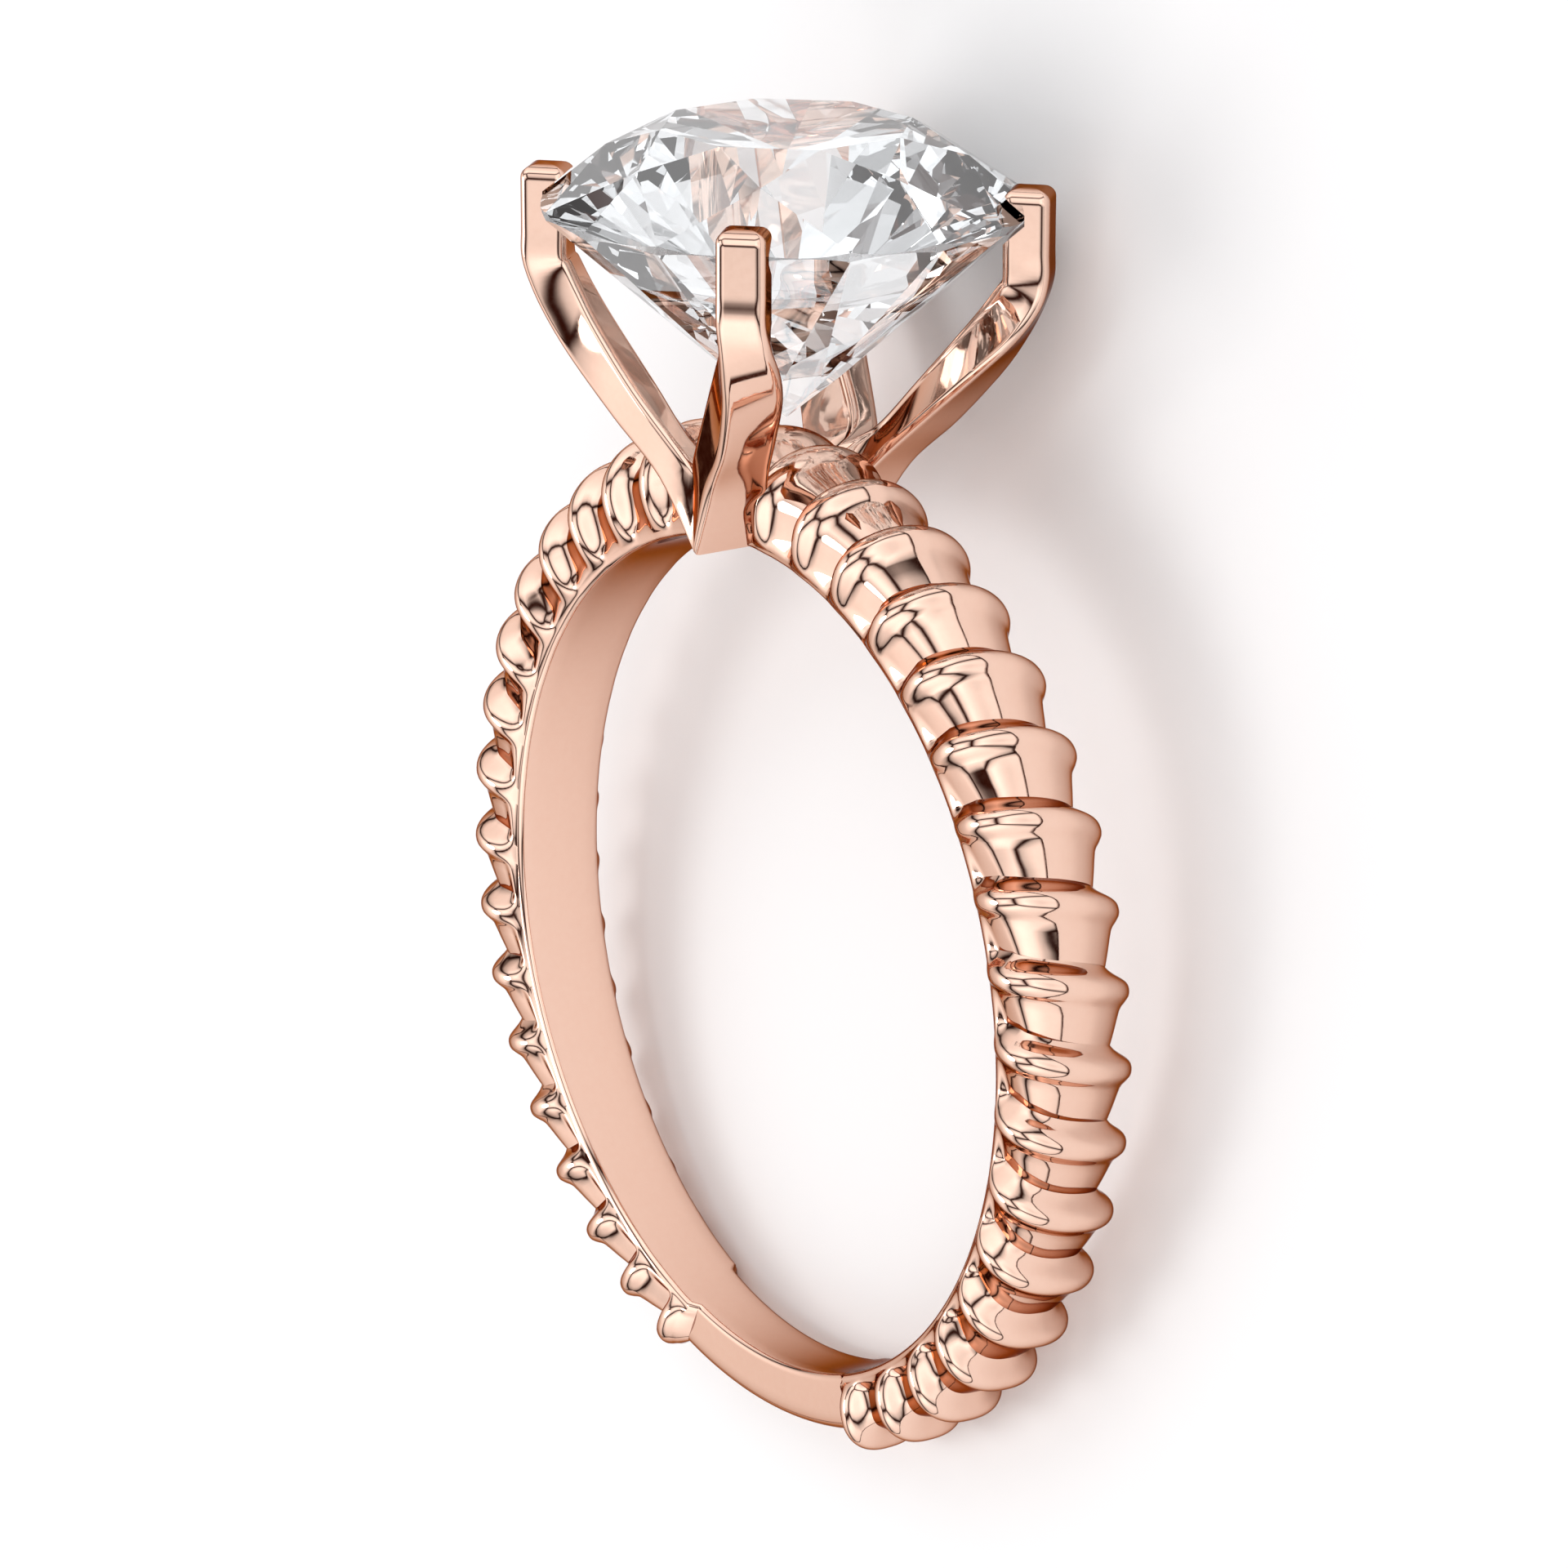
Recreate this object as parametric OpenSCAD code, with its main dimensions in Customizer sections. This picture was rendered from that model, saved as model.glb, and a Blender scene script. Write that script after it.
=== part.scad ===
// Solitaire ring with a twisted shank: a tapering core inside a coil of raised turns,
// a four prong head of two V-shaped wires, and one round brilliant-cut stone.
// Each shape is drawn in the ring's own axes: X across, Y along the finger, Z towards the stone.
// The finished ring is then laid on its side, as it lies on a table.

/* [Finger hole] */
// Inside diameter of the ring
bore_d = 16.5; // [15:0.1:20]
// Width of the flat inside band at the head
band_w_head = 1.72; // [1.5:0.05:1.9]
// Width of the flat inside band at the sides
band_w_side = 1.6; // [1.4:0.01:1.8]
// Width of the flat inside band at the back
band_w_back = 1.36; // [1.1:0.05:1.5]

/* [Core] */
// Thickness of the core at the head, from the finger hole outwards
core_t_head = 1.79; // [1.5:0.01:2]
// Thickness of the core at the sides
core_t_side = 1.49; // [1.25:0.01:1.7]
// Thickness of the core at the back, where it is left bare
core_t_back = 1.18; // [1:0.01:1.4]
// Width of the core at the head, along the finger
core_w_head = 1.7; // [1.6:0.01:2]
// Width of the core at the sides
core_w_side = 1.86; // [1.7:0.01:2.1]
// Width of the core at the back
core_w_back = 1.36; // [1.25:0.01:1.6]
// Height of the core's widest place, as a share of its thickness
mid_share = 0.6; // [0.5:0.01:0.65]
// Roundness of the core at the back: 1 is an oval, less is squarer
round_back = 0.7; // [0.5:0.01:1]

/* [Coil] */
// Number of raised turns on each side of the middle one
turns = 18; // [12:1:18]
// Angle from one turn to the next, in degrees
turn_pitch = 8.89; // [7.5:0.01:9.2]
// Angle of the middle turn, under the head
mid_angle = 91; // [88:0.05:92]
// Height of a turn above the core
turn_h = 0.39; // [0.25:0.01:0.45]
// Share of the pitch that a turn covers
turn_share = 0.63; // [0.45:0.01:0.7]
// Height of the slow slope beside a turn, as a share of the turn's height
ramp_share = 0.5; // [0.2:0.01:0.6]

/* [Head] */
// Width of a prong across the stone's edge, and depth of a V wire
prong_w = 0.92; // [0.8:0.02:1.1]
// Thickness of a prong, outwards from the stone
prong_t = 0.88; // [0.75:0.01:1]
// Width of a V wire's sloping arm, in the plane of the V
arm_w = 1; // [0.85:0.01:1.1]
// Angle of a prong round the stone, from the ring's middle plane
prong_angle = 43.6; // [42:0.1:47]
// Height of the prong tips above the middle of the stone's edge
prong_rise = 0.56; // [0.45:0.01:0.8]
// Depth below the middle of the stone's edge at which the prongs start to bend
bend_drop = 1.16; // [1:0.01:1.4]
// Height of the bend's curve below that
bend_h = 0.93; // [0.7:0.01:1.1]
// Depth that the stone's edge is let into a prong
prong_grip = 0.43; // [0.25:0.01:0.45]
// Radius of the prongs' rounded edges
prong_round = 0.15; // [0.08:0.01:0.2]
// Height of the foot where the two wires of a V meet
foot_h = 1.72; // [1.4:0.01:1.9]
// Distance of the foot's outer face from the ring's middle plane
foot_out = 2.1; // [1.8:0.05:2.3]
// Height above the finger hole at which the arms' middle lines meet
foot_lift = 1.08; // [0.9:0.01:1.2]

/* [Stone] */
// Diameter of the stone
stone_d = 9.2; // [8.5:0.1:9.6]
// Depth of the stone's point above the finger hole
stone_lift = 2.4; // [2.2:0.05:3]
// Width of the table, as a share of the stone's diameter
table_share = 0.527; // [0.5:0.001:0.6]
// Height of the crown, as a share of the stone's diameter
crown_share = 0.156; // [0.14:0.001:0.17]
// Thickness of the girdle, as a share of the stone's diameter
girdle_share = 0.018; // [0.01:0.001:0.03]
// Depth of the pavilion, as a share of the stone's diameter
pavilion_share = 0.438; // [0.42:0.001:0.45]
// Turn of the stone about its own axis, in degrees
stone_turn = 25.5; // [0:0.5:45]
// Clearance between the stone and its seats
seat_gap = 0.02; // [0.01:0.005:0.05]

/* [Hidden] */
$fn = 96;

bore_r = bore_d / 2;
stone_r = stone_d / 2;

// A quantity with a value at the head, at the sides and at the back, at an angle of the ring
function around(head, side, back, angle) =
    let (s = sin(angle))
    side + (head - back) / 2 * s + ((head + back) / 2 - side) * s * s;

function core_t(angle) = around(core_t_head, core_t_side, core_t_back, angle);
function core_w(angle) = around(core_w_head, core_w_side, core_w_back, angle);
function band_w(angle) = around(band_w_head, band_w_side, band_w_back, angle);

function lerp(a, b, f) = a + (b - a) * f;
function unit(v) = v / norm(v);

// Shank section: the upper half is an oval, and below it each side draws in to the band's edge.
// A place on it is its section angle: 0 outermost, 90 at the side that faces -Y, -90 at the other.
side_arc_angle = 70;
side_end_angle = 135;
side_slack_angle = 5;
side_angles = [102, 112, 120, 128];

function oval_mid(angle) = core_t(angle) * mid_share;
function core_round(angle) = around(1, 1, round_back, angle);
function side_fall(q) = (abs(q) - 90) / (side_end_angle + side_slack_angle - 90) * side_arc_angle;

// Radial height above the finger hole, and distance from the ring's middle plane
function core_point(angle, q) =
    let (
        mid = oval_mid(angle),
        semi_t = core_t(angle) - mid,
        semi_w = core_w(angle) / 2,
        fall = side_fall(q),
        edge = band_w(angle) / 2,
        bend = core_round(angle)
    )
    abs(q) <= 90
        ? [mid + semi_t * pow(cos(q), bend), semi_w * sign(q) * pow(abs(sin(q)), bend)]
        : [mid * (1 - sin(fall) / sin(side_arc_angle)),
           sign(q) * (semi_w - (semi_w - edge) * (1 - cos(fall)) / (1 - cos(side_arc_angle)))];

// Outward direction of the oval at that place
function core_normal(angle, q) =
    let (
        mid = oval_mid(angle),
        semi_t = core_t(angle) - mid,
        semi_w = core_w(angle) / 2,
        bend = 2 - core_round(angle)
    )
    unit([semi_w * pow(cos(q), bend), semi_t * sign(q) * pow(abs(sin(q)), bend)]);

// How far down the side a section angle is: 0 at the widest place, 1 at the band
function side_reach(q) = max(abs(q) - 90, 0) / (side_end_angle - 90);

// The turns swell the side less and less towards the band, and the grooves between them
// run out before it, at the head later than at the back
groove_fade = 0.42;
groove_end_head = 1.05;
groove_end_side = 0.88;
groove_end_back = 0.85;
function swell(q) = 1 - pow(side_reach(q), 2);
function groove_left(angle, q) =
    let (
        stop = around(groove_end_head, groove_end_side, groove_end_back, angle),
        f = min(max((side_reach(q) - groove_fade) / (stop - groove_fade), 0), 1)
    )
    1 - f * f * (3 - 2 * f);

// Angle around the ring of a coil position, counted in turns from the middle one
mid_slack = 0.87;
function coil_angle(n) =
    mid_angle + turn_pitch * (abs(n) <= 1 ? mid_slack * n : n - sign(n) * (1 - mid_slack));

// Rows of one turn, as place within its width and share of its height. The floor beside it climbs
// slowly to its crest, and a steep flank follows. The steep flanks face the middle turn.
turn_rows = [
    [-0.35, ramp_share],
    [-0.11, 1],
    [0.11, 1],
    [0.32, 0.46],
    [0.5, 0]
];
middle_rows = [
    [-1, 0],
    [-0.6, 0.6],
    [-0.2, 1],
    [0.2, 1],
    [0.6, 0.6],
    [1, 0]
];
function coil_row(n, place, share) = [coil_angle(n + place * turn_share), share, 1];

// The middle turn is the widest: it fills most of the room that the turns beside it leave
middle_fill = 0.92;
middle_half = (1 - turn_share / 2) * middle_fill;
function middle_row(place, share) = [coil_angle(place * middle_half), share, 1];
bare_rows = 9;
bare_start = coil_angle(turns + turn_share / 2);
bare_end = coil_angle(-turns - turn_share / 2) + 360;
shank_rows = [
    for (n = [-turns:-1], row = turn_rows)
        coil_row(n, row[0], row[1]),
    for (row = middle_rows)
        middle_row(row[0], row[1]),
    for (n = [1:turns], i = [len(turn_rows) - 1:-1:0])
        coil_row(n, -turn_rows[i][0], turn_rows[i][1]),
    for (i = [1:bare_rows])
        [lerp(bare_start, bare_end, i / (bare_rows + 1)), 0, 0]
];
oval_angle_step = 22.5;
section_angles = [
    -side_end_angle,
    for (i = [3:-1:0]) -side_angles[i],
    for (q = [-90:oval_angle_step:90]) q,
    for (i = [0:3]) side_angles[i],
    side_end_angle
];
inner_depth = core_t_back * 0.4;
inner_draw = core_t_back * 0.1;

// A point of the shank in the ring's axes
function ring_point(angle, r, y) = [(bore_r + r) * cos(angle), -y, (bore_r + r) * sin(angle)];

// Angle that a turn has gained at a section angle: it runs slower past the sides
slow_from_angle = 60;
slow_rate = 0.8;
function coil_lead(q) =
    turn_pitch * sign(q) * (min(abs(q), slow_from_angle) + slow_rate * max(abs(q) - slow_from_angle, 0)) / 360;

function shank_point(row, q) =
    let (
        angle = row[0] + coil_lead(q),
        groove = groove_left(angle, q),
        share = row[2] * (1 - groove) + row[1] * groove,
        out = abs(q) <= 90 ? core_normal(angle, q) : [0, sign(q)],
        p = core_point(angle, q) + out * turn_h * swell(q) * share
    )
    ring_point(angle, p[0], p[1]);

function inner_point(row, side) =
    let (angle = row[0] + coil_lead(side * side_end_angle))
    ring_point(angle, -inner_depth, side * (band_w(angle) / 2 - inner_draw));

function shank_ring(row) = concat(
    [inner_point(row, -1)],
    [for (q = section_angles) shank_point(row, q)],
    [inner_point(row, 1)]
);

// Skin between closed sections of equal point count, without end faces
function skin_faces(sections, count, closed) = [
    for (i = [0:sections - (closed ? 1 : 2)], j = [0:count - 1])
        let (
            a = i * count + j,
            b = i * count + (j + 1) % count,
            c = ((i + 1) % sections) * count + (j + 1) % count,
            d = ((i + 1) % sections) * count + j
        )
        each [[a, b, c], [a, c, d]]
];

module shank_skin() {
    sections = [for (row = shank_rows) shank_ring(row)];
    count = len(sections[0]);
    polyhedron(
        points = [for (s = sections) each s],
        faces = skin_faces(len(sections), count, true),
        convexity = 10
    );
}

module finger_hole() {
    rotate([90, 0, 0])
        cylinder(r = bore_r, h = 6 * foot_out, center = true);
}

module twisted_shank() {
    difference() {
        shank_skin();
        finger_hole();
    }
}

// Stone: heights of its levels above the ring's middle
culet_z = bore_r + stone_lift;
girdle_low_z = culet_z + pavilion_share * stone_d;
girdle_top_z = girdle_low_z + girdle_share * stone_d;
girdle_mid_z = (girdle_low_z + girdle_top_z) / 2;
table_z = girdle_top_z + crown_share * stone_d;
table_r = table_share * stone_r;
facet_angle = 45;
half_angle = facet_angle / 2;
star_share = 0.5;
lower_share = 0.78;
star_r = lerp(table_r * cos(half_angle), stone_r, star_share);
lower_r = stone_r * (1 - lower_share);
crown_slope = (table_z - girdle_top_z) / (stone_r - table_r);
pavilion_slope = (girdle_low_z - culet_z) / stone_r;
star_z = table_z - (star_r * cos(half_angle) - table_r) * crown_slope;
lower_z = culet_z + lower_r * cos(half_angle) * pavilion_slope;

function round_point(r, angle, z) = [r * cos(angle), r * sin(angle), z];

// Eight-fold brilliant: table, 8 stars, 8 mains, 16 upper and 16 lower girdle facets, 8 pavilion mains
module brilliant() {
    hull()
        polyhedron(
            points = [
                for (k = [0:7])
                    let (main = stone_turn + k * facet_angle, between = main + half_angle)
                    each [
                        round_point(table_r, main, table_z),
                        round_point(star_r, between, star_z),
                        round_point(stone_r, main, girdle_top_z),
                        round_point(stone_r, between, girdle_top_z),
                        round_point(stone_r, main, girdle_low_z),
                        round_point(stone_r, between, girdle_low_z),
                        round_point(lower_r, between, lower_z)
                    ],
                [0, 0, culet_z]
            ],
            faces = [for (k = [0:54]) [k, k + 1, 56]]
        );
}

// Room that the bur leaves for the stone in the prongs
module stone_seat() {
    seat_r = stone_r + seat_gap;
    up = (star_z - girdle_top_z) / (stone_r - star_r);
    down = (girdle_low_z - lower_z) / (stone_r - lower_r);
    rotate_extrude()
        polygon([
            [0, girdle_low_z - seat_gap - seat_r * down],
            [seat_r, girdle_low_z - seat_gap],
            [seat_r, girdle_top_z + seat_gap],
            [0, girdle_top_z + seat_gap + seat_r * up]
        ]);
}

// V wire: one bar from prong tip to foot to prong tip, given as a list of sections.
// Each arm's middle line is a curve that leaves the foot at a slope and ends upright in the prong.
prong_r = stone_r + prong_t / 2 - prong_grip;
prong_x = prong_r * cos(prong_angle);
prong_y = prong_r * sin(prong_angle);
prong_top = girdle_mid_z + prong_rise;
bend_top_z = girdle_mid_z - bend_drop;
foot_overlap = prong_round * 0.4;
foot_in = band_w_head / 2 - foot_overlap;
foot_t = foot_out - foot_in;
arm_out = foot_out - prong_w / 2;
knee_share = 0.83;
knee_y = lerp(arm_out, prong_y, knee_share);
arm_path = [
    [0, -arm_out, bore_r + foot_lift],
    [prong_x, -knee_y, bend_top_z - bend_h],
    [prong_x, -prong_y, bend_top_z]
];

// Place on an arm's middle line, from 0 at the foot to 1 at the prong, and its direction there
function path_point(f) =
    pow(1 - f, 2) * arm_path[0] + 2 * f * (1 - f) * arm_path[1] + f * f * arm_path[2];
function path_dir(f) =
    unit((1 - f) * (arm_path[1] - arm_path[0]) + f * (arm_path[2] - arm_path[1]));

// Sections of an arm: place, share of arm_w, turn about its own line in degrees,
// and slant of its back as a share of prong_w, deeper along the lower edge
arm_sections = [
    [0.1, 0.92, -5, 0.39],
    [0.28, 0.99, -3, 0.28],
    [0.5, 1.01, -14, 0.25],
    [0.68, 0.97, -29, 0.2],
    [0.86, 0.92, -41, 0.06]
];
prong_turn = -prong_angle;
foot_slant = 0.4;
tip_share = 0.3;
least_round = prong_round / 8;

// Rounded bar section across direction dir: w along the V's plane, t outwards, its back slanted
function bar_section(mid, dir, turn, w, t, slant = 0, inset = 0) =
    let (
        front = unit([0, -1, 0] + dir[1] * dir),
        side = cross(dir, front),
        ww = side * cos(turn) - front * sin(turn),
        tt = front * cos(turn) + side * sin(turn),
        rr = max(prong_round - inset, least_round),
        a = w / 2 - inset - rr,
        b = t / 2 - inset - rr
    )
    [
        for (corner = [[1, 1, 0], [-1, 1, 90], [-1, -1, 180], [1, -1, 270]], step = [0:45:90])
            mid + ww * (corner[0] * a + rr * cos(corner[2] + step))
                + tt * (corner[1] * b + rr * sin(corner[2] + step) + slant * corner[0] * (corner[1] - 1) / 2)
    ];

function prong_section(z, inset) =
    bar_section([prong_x, -prong_y, z], [0, 0, 1], prong_turn, prong_t, prong_w, 0, inset);

// Stations of the right half, from the foot up
function half_bar() = [
    for (s = arm_sections)
        bar_section(path_point(s[0]), path_dir(s[0]), s[2], arm_w * s[1], prong_w, prong_w * s[3]),
    prong_section(bend_top_z, 0),
    prong_section(prong_top - prong_round, 0),
    prong_section(prong_top - prong_round * tip_share, prong_round * tip_share),
    prong_section(prong_top, prong_round)
];

function foot_section() =
    bar_section([0, -(foot_out + foot_in) / 2, bore_r + foot_h / 2], [1, 0, 0], 0,
        foot_h, foot_t, prong_w * foot_slant);

// The same section on the other side of the middle plane, with its points in matching order
function mirrored(section) =
    [for (p = section) [-p[0], p[1], p[2]]];

module v_wire() {
    right = half_bar();
    left = [for (i = [len(right) - 1:-1:0]) mirrored(right[i])];
    sections = concat(left, [foot_section()], right);
    count = len(sections[0]);
    last = len(sections) - 1;
    polyhedron(
        points = [for (s = sections) each s],
        faces = concat(
            skin_faces(len(sections), count, false),
            [[for (j = [count - 1:-1:0]) j]],
            [[for (j = [0:count - 1]) last * count + j]]
        ),
        convexity = 6
    );
}

module four_prong_head() {
    difference() {
        union() {
            v_wire();
            rotate([0, 0, 180])
                v_wire();
        }
        stone_seat();
    }
}

// Lying pose: the stone's edge and the last turns beside the bare back touch the table
last_turn = coil_angle(-turns) + coil_lead(-90);
turn_side = core_w(last_turn) / 2 + turn_h;
turn_end = -(bore_r + oval_mid(last_turn)) * sin(last_turn);
lie_tilt = atan((stone_r - turn_side) / (girdle_low_z + turn_end));
rest_h = turn_side * cos(lie_tilt) + turn_end * sin(lie_tilt);
head_reach = table_z * cos(lie_tilt) + table_r * sin(lie_tilt);
back_reach = (bore_r + core_t_back) * cos(lie_tilt);
lie_shift = (back_reach - head_reach) / 2;

module laid_down() {
    translate([0, lie_shift, rest_h])
        rotate([-90 + lie_tilt, 0, 0])
            children();
}

module shank_and_setting() {
    color("#e3b8a2")
        laid_down()
            union() {
                twisted_shank();
                four_prong_head();
            }
}

module round_stone() {
    color("#e8ecef")
        laid_down()
            brilliant();
}

shank_and_setting();
round_stone();
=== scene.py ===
"""Looks of a twisted shank ring: a coiled rose gold shank, a four prong head and a round brilliant.

Lengths in the classes are millimetres in the ring's own axes: X across, Y along the finger and
Z towards the stone. LyingPose turns them to metres on the table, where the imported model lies.
"""

import logging
import math
from collections.abc import Sequence
from dataclasses import dataclass, field
from enum import Enum

import bmesh
import bpy
from mathutils import Matrix, Vector

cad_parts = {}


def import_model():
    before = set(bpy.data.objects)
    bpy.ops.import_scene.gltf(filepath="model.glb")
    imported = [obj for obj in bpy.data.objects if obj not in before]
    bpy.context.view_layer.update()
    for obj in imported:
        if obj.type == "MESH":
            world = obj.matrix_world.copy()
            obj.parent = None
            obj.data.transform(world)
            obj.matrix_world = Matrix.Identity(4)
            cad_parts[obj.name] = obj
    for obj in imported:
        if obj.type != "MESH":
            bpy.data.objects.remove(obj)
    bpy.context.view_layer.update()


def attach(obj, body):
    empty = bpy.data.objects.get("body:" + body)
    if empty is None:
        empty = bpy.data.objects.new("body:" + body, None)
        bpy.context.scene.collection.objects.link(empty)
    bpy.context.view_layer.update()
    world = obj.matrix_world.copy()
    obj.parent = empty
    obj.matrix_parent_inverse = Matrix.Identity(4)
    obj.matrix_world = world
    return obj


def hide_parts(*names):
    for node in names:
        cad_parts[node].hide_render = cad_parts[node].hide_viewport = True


LOG = logging.getLogger("ring")
MM = 0.001
BODY = "root"
# Distance in mm at which doubled points merge, and angle in degrees from which an edge stays sharp
MERGE_MM = 1e-6
SHARP_ANGLE = 40.0
# Colour sockets of the Mix node, whose other types share their names
MIX_A, MIX_B, MIX_RESULT = 6, 7, 2


class Slot(Enum):
    """Names of the record's material slots."""

    ROSE_GOLD = "rose_gold"
    STONE = "stone"


class Joining(Enum):
    """How parts meet their base: soldered to it, or cut out of it."""

    SOLDER = "UNION"
    CUT = "DIFFERENCE"


def lerp(a: float, b: float, share: float) -> float:
    """Value between a and b at a share of the way."""
    return a + (b - a) * share


def linear(hex_colour: str) -> tuple[float, float, float, float]:
    """Turns an sRGB hex colour to linear light.

    Args:
        hex_colour: Six hex digits after a hash sign.

    Returns:
        Linear red, green and blue, and an alpha of one.
    """
    parts = [int(hex_colour[i : i + 2], 16) / 255 for i in (1, 3, 5)]
    red, green, blue = (c / 12.92 if c <= 0.04045 else ((c + 0.055) / 1.055) ** 2.4 for c in parts)
    return red, green, blue, 1.0


def add_node(
    tree: bpy.types.NodeTree,
    kind: str,
    settings: dict[str | int, object] | None = None,
    links: dict[str | int, bpy.types.NodeSocket] | None = None,
) -> bpy.types.Node:
    """Adds a shader node with its settings and links.

    Args:
        tree: Node tree that gets the node.
        kind: Blender's type name of the node.
        settings: Values by the name or number of an input socket, or else the name of a property.
        links: Sockets that feed the node, by the name or number of its input.

    Returns:
        The new node.
    """
    node = tree.nodes.new(kind)
    for name, value in (settings or {}).items():
        if isinstance(name, int) or name in node.inputs:
            node.inputs[name].default_value = value
        else:
            setattr(node, name, value)
    for name, socket in (links or {}).items():
        tree.links.new(socket, node.inputs[name])
    return node


def empty_material(name: str) -> bpy.types.Material:
    """Makes a material whose node tree is still empty."""
    material = bpy.data.materials.new(name)
    material.use_nodes = True
    material.node_tree.nodes.clear()
    return material


@dataclass(frozen=True)
class PolishedRoseGold:
    """Cast 14 carat rose gold, buffed to a mirror.

    A warm, pale copper-pink mirror. The buffing wheel leaves the surface very slightly wavy, and
    a fine haze that is only seen where the light grazes it. Its colour is also painted a darker
    copper where the surface turns away from the camera, a painted shade towards every outline.
    """

    colour: str = "#f4d1be"
    haze_colour: str = "#f1cab6"
    # Darker copper painted in where the surface turns away from the camera: painted shade towards the
    # outlines
    painted_shade_colour: str = "#c48c71"
    rim_tint: str = "#9a6852"
    # Blend of the Layer Weight that spreads the painted shade in from the outlines
    painted_shade_blend: float = 0.18
    roughness: float = 0.035
    haze_roughness: float = 0.09
    haze_mm: float = 0.16
    haze_detail: float = 3.0
    haze_grain: float = 0.6
    haze_span: tuple[float, float] = (0.3, 0.8)
    wave_mm: float = 0.9
    wave_detail: float = 1.0
    wave_height_mm: float = 0.0012

    def material(self) -> bpy.types.Material:
        """Builds the node material on Object coordinates.

        Returns:
            The material.
        """
        material = empty_material("polished_rose_gold")
        tree = material.node_tree
        place = add_node(tree, "ShaderNodeTexCoord").outputs["Object"]
        haze = add_node(
            tree,
            "ShaderNodeTexNoise",
            {"Scale": 1 / (self.haze_mm * MM), "Detail": self.haze_detail, "Roughness": self.haze_grain},
            {"Vector": place},
        ).outputs["Fac"]
        tint = add_node(
            tree,
            "ShaderNodeMix",
            {"data_type": "RGBA", MIX_A: linear(self.colour), MIX_B: linear(self.haze_colour)},
            {"Factor": haze},
        )
        # Painted shade: the base colour turns to the darker copper as the surface turns away from the camera
        facing = add_node(tree, "ShaderNodeLayerWeight", {"Blend": self.painted_shade_blend})
        metal = add_node(
            tree,
            "ShaderNodeMix",
            {"data_type": "RGBA", MIX_B: linear(self.painted_shade_colour)},
            {"Factor": facing.outputs["Facing"], MIX_A: tint.outputs[MIX_RESULT]},
        )
        low, high = self.haze_span
        gloss = add_node(
            tree,
            "ShaderNodeMapRange",
            {"From Min": low, "From Max": high, "To Min": self.roughness, "To Max": self.haze_roughness},
            {"Value": haze},
        )
        wave = add_node(
            tree,
            "ShaderNodeTexNoise",
            {"Scale": 1 / (self.wave_mm * MM), "Detail": self.wave_detail},
            {"Vector": place},
        )
        bump = add_node(
            tree,
            "ShaderNodeBump",
            {"Strength": 1.0, "Distance": self.wave_height_mm * MM},
            {"Height": wave.outputs["Fac"]},
        )
        shader = add_node(
            tree,
            "ShaderNodeBsdfPrincipled",
            {"Metallic": 1.0, "Specular Tint": linear(self.rim_tint)},
            {
                "Base Color": metal.outputs[MIX_RESULT],
                "Roughness": gloss.outputs["Result"],
                "Normal": bump.outputs["Normal"],
            },
        )
        add_node(tree, "ShaderNodeOutputMaterial", links={"Surface": shader.outputs["BSDF"]})
        return material


@dataclass(frozen=True)
class CutStone:
    """Colourless brilliant with polished facets and a finely ground girdle.

    Diamond bends light so strongly that the facets mirror each other in black, grey and white.
    """

    ior: float = 2.417
    facet_colour: str = "#f4f8fa"
    facet_roughness: tuple[float, float] = (0.0, 0.002)
    girdle_colour: str = "#eef1f4"
    girdle_roughness: tuple[float, float] = (0.25, 0.33)
    polish_mm: float = 0.4
    polish_detail: float = 2.0
    polish_span: tuple[float, float] = (0.45, 0.75)

    def facets(self) -> bpy.types.Material:
        """Builds the clear material of the polished facets."""
        return self.clear("cut_diamond", self.facet_colour, self.facet_roughness)

    def girdle(self) -> bpy.types.Material:
        """Builds the frosted material of the ground girdle."""
        return self.clear("ground_diamond_girdle", self.girdle_colour, self.girdle_roughness)

    def clear(self, name: str, colour: str, roughness: tuple[float, float]) -> bpy.types.Material:
        """Builds a clear material whose polish varies a little.

        Args:
            name: Name of the material.
            colour: sRGB hex colour of the light that passes.
            roughness: Roughness of the best and of the least polished places.

        Returns:
            The material.
        """
        material = empty_material(name)
        tree = material.node_tree
        place = add_node(tree, "ShaderNodeTexCoord").outputs["Object"]
        polish = add_node(
            tree,
            "ShaderNodeTexNoise",
            {"Scale": 1 / (self.polish_mm * MM), "Detail": self.polish_detail},
            {"Vector": place},
        )
        low, high = self.polish_span
        gloss = add_node(
            tree,
            "ShaderNodeMapRange",
            {"From Min": low, "From Max": high, "To Min": roughness[0], "To Max": roughness[1]},
            {"Value": polish.outputs["Fac"]},
        )
        shader = add_node(
            tree,
            "ShaderNodeBsdfPrincipled",
            {"Base Color": linear(colour), "IOR": self.ior, "Transmission Weight": 1.0},
            {"Roughness": gloss.outputs["Result"]},
        )
        add_node(tree, "ShaderNodeOutputMaterial", links={"Surface": shader.outputs["BSDF"]})
        return material


def skin(sections: Sequence[Sequence[Vector]], closed: bool) -> bmesh.types.BMesh:
    """Lays a grid over closed sections of equal point count, as a lofted skin.

    Args:
        sections: The sections in order, each a closed loop of points.
        closed: Whether the last section joins the first, as around a ring.

    Returns:
        A closed mesh with its faces outwards.
    """
    rows, count = len(sections), len(sections[0])
    mesh = bmesh.new()
    bmesh.ops.create_grid(mesh, x_segments=count, y_segments=rows if closed else rows - 1, size=1)
    mesh.verts.ensure_lookup_table()
    for index, vert in enumerate(mesh.verts):
        row, column = divmod(index, count + 1)
        vert.co = sections[row % rows][column % count]
    bmesh.ops.remove_doubles(mesh, verts=mesh.verts, dist=MERGE_MM)
    bmesh.ops.holes_fill(mesh, edges=mesh.edges, sides=0)
    bmesh.ops.recalc_face_normals(mesh, faces=mesh.faces)
    return mesh


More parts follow.
